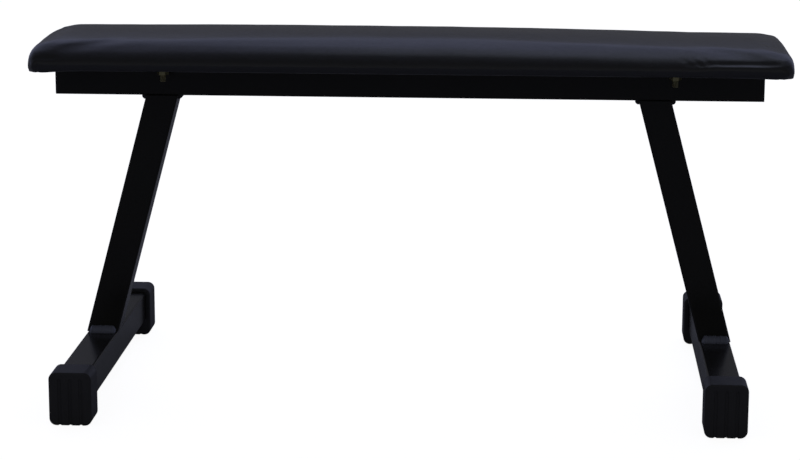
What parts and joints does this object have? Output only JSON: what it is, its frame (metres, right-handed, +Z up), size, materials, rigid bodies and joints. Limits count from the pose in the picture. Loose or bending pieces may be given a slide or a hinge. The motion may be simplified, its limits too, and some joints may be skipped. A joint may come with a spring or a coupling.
{
  "type": "flat weight bench",
  "caption": "Flat weight bench: black vinyl pad bolted to a welded square-tube frame with leaning legs and cross feet in ribbed rubber boots.",
  "frame": {"origin": "on the floor, under the middle of the bench", "axes": "+X along the bench, +Y across it, +Z up"},
  "size_m": [0.955, 0.4916, 0.46],
  "materials": {
    "powder_coat": "gloss black powder coat",
    "weld_bead": "gloss black powder coat over a rippled bead",
    "boot_rubber": "satin moulded rubber",
    "plug_plastic": "satin moulded plastic",
    "zinc": "yellow zinc plated",
    "vinyl": "satin grained vinyl",
    "foam": "open-cell foam",
    "plywood": "unfinished plywood",
    "backing_cloth": "matte non-woven cloth"
  },
  "bodies": {
    "root": {"rail_tube": "powder_coat", "rail_plug_left": "plug_plastic", "rail_plug_right": "plug_plastic", "leg_tube_left": "powder_coat", "leg_tube_right": "powder_coat", "foot_tube_left": "powder_coat", "foot_tube_right": "powder_coat", "foot_boot_front_left": "boot_rubber", "foot_boot_rear_left": "boot_rubber", "foot_boot_front_right": "boot_rubber", "foot_boot_rear_right": "boot_rubber", "foot_weld_front_left": "weld_bead", "foot_weld_rear_left": "weld_bead", "foot_weld_front_right": "weld_bead", "foot_weld_rear_right": "weld_bead", "rail_weld_outer_left": "weld_bead", "rail_weld_inner_left": "weld_bead", "rail_weld_outer_right": "weld_bead", "rail_weld_inner_right": "weld_bead", "plate_weld_front_left": "weld_bead", "plate_weld_rear_left": "weld_bead", "plate_weld_front_right": "weld_bead", "plate_weld_rear_right": "weld_bead", "cross_plate_left": "powder_coat", "cross_plate_right": "powder_coat", "pad_bolt_front_left": "zinc", "pad_washer_front_left": "zinc", "pad_nut_front_left": "zinc", "pad_bolt_rear_left": "zinc", "pad_washer_rear_left": "zinc", "pad_nut_rear_left": "zinc", "pad_bolt_front_right": "zinc", "pad_washer_front_right": "zinc", "pad_nut_front_right": "zinc", "pad_bolt_rear_right": "zinc", "pad_washer_rear_right": "zinc", "pad_nut_rear_right": "zinc", "pad_board": "plywood", "pad_foam": "foam", "pad_cover": "vinyl", "pad_backing_cloth": "backing_cloth"}
  },
  "joints": []
}
